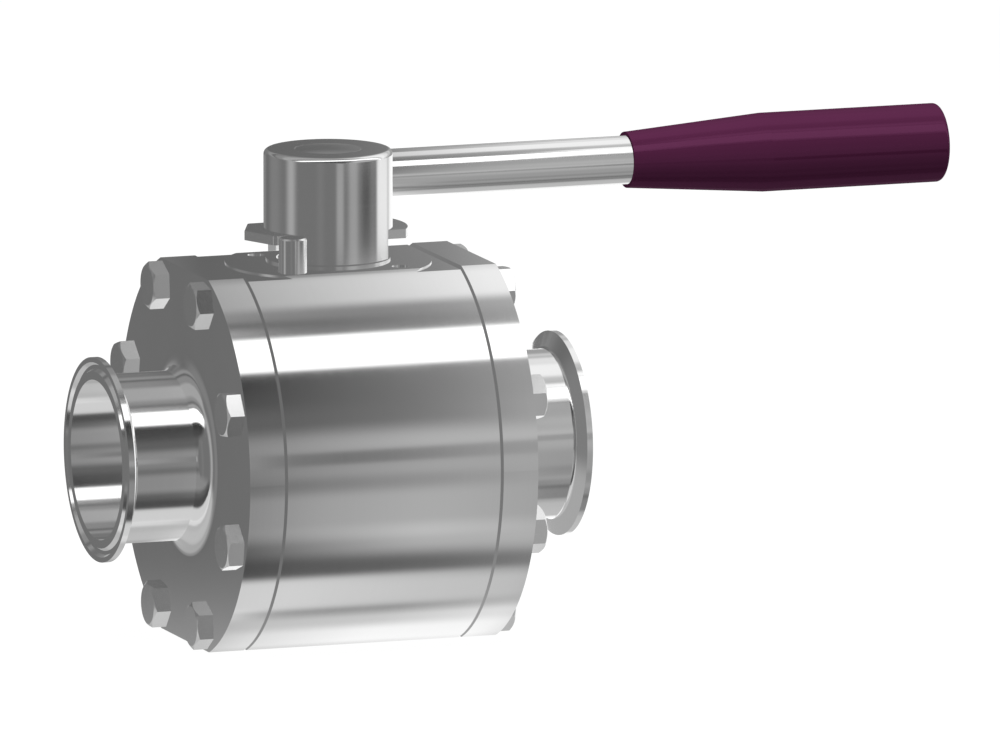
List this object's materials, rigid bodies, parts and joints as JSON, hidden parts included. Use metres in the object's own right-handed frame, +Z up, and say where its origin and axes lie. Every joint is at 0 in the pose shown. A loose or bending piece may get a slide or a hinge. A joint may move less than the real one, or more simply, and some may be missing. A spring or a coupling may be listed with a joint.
{
  "type": "full-bore ball valve",
  "caption": "Full-bore ball valve with clamp-ferrule ends, a round bolted body flat above and below, a mounting pad, a stop plate and pin, and a straight rod lever with a tapered grip.",
  "frame": {"origin": "where the flow axis meets the stem axis, at the centre of the ball", "axes": "+X along the flow, on the side of the lever when the valve is open; +Z up the stem; the stop pin is on the -X, -Y side"},
  "size_m": [0.2781, 0.126, 0.156],
  "materials": {
    "body_steel": "polished stainless steel with a fine turned grain",
    "bolt_steel": "satin stainless steel",
    "lever_steel": "polished stainless steel",
    "inner_steel": "machined stainless steel",
    "ball_steel": "mirror-polished stainless steel",
    "seat_polymer": "white fluoropolymer",
    "seal_rubber": "black fluoro rubber",
    "grip_plastic": "plum plastic with a satin gloss"
  },
  "bodies": {
    "valve_body": {"body_centre": "body_steel", "end_cap_left": "body_steel", "end_cap_right": "body_steel", "neck_left": "body_steel", "neck_right": "body_steel", "clamp_ferrule_left": "body_steel", "clamp_ferrule_right": "body_steel", "cap_bolts_left": "bolt_steel", "cap_bolts_right": "bolt_steel", "body_seal_left": "seat_polymer", "body_seal_right": "seat_polymer", "seat_left": "seat_polymer", "seat_right": "seat_polymer", "thrust_washer": "seat_polymer", "stem_o_ring": "seal_rubber", "stem_packing": "seat_polymer", "gland_ring": "inner_steel", "stop_pin": "lever_steel"},
    "lever": {"stem": "inner_steel", "disc_springs": "inner_steel", "stem_nut": "bolt_steel", "stop_plate": "lever_steel", "lever_hub": "lever_steel", "hub_screw": "bolt_steel", "hub_cap": "lever_steel", "lever_rod": "lever_steel", "lever_grip": "grip_plastic"},
    "ball": {"ball": "ball_steel"}
  },
  "joints": [
    {"name": "lever_turn", "type": "hinge", "parent": "valve_body", "child": "lever", "pos_m": [0, 0, 0], "axis": [0, 0, 1], "range_deg": [-90, 0]},
    {"name": "ball_turn", "type": "hinge", "parent": "valve_body", "child": "ball", "pos_m": [0, 0, 0], "axis": [0, 0, 1], "range_deg": [-90, 0]}
  ],
  "couplings": [
    {"joint": "ball_turn", "follows": "lever_turn", "ratio": 1}
  ]
}
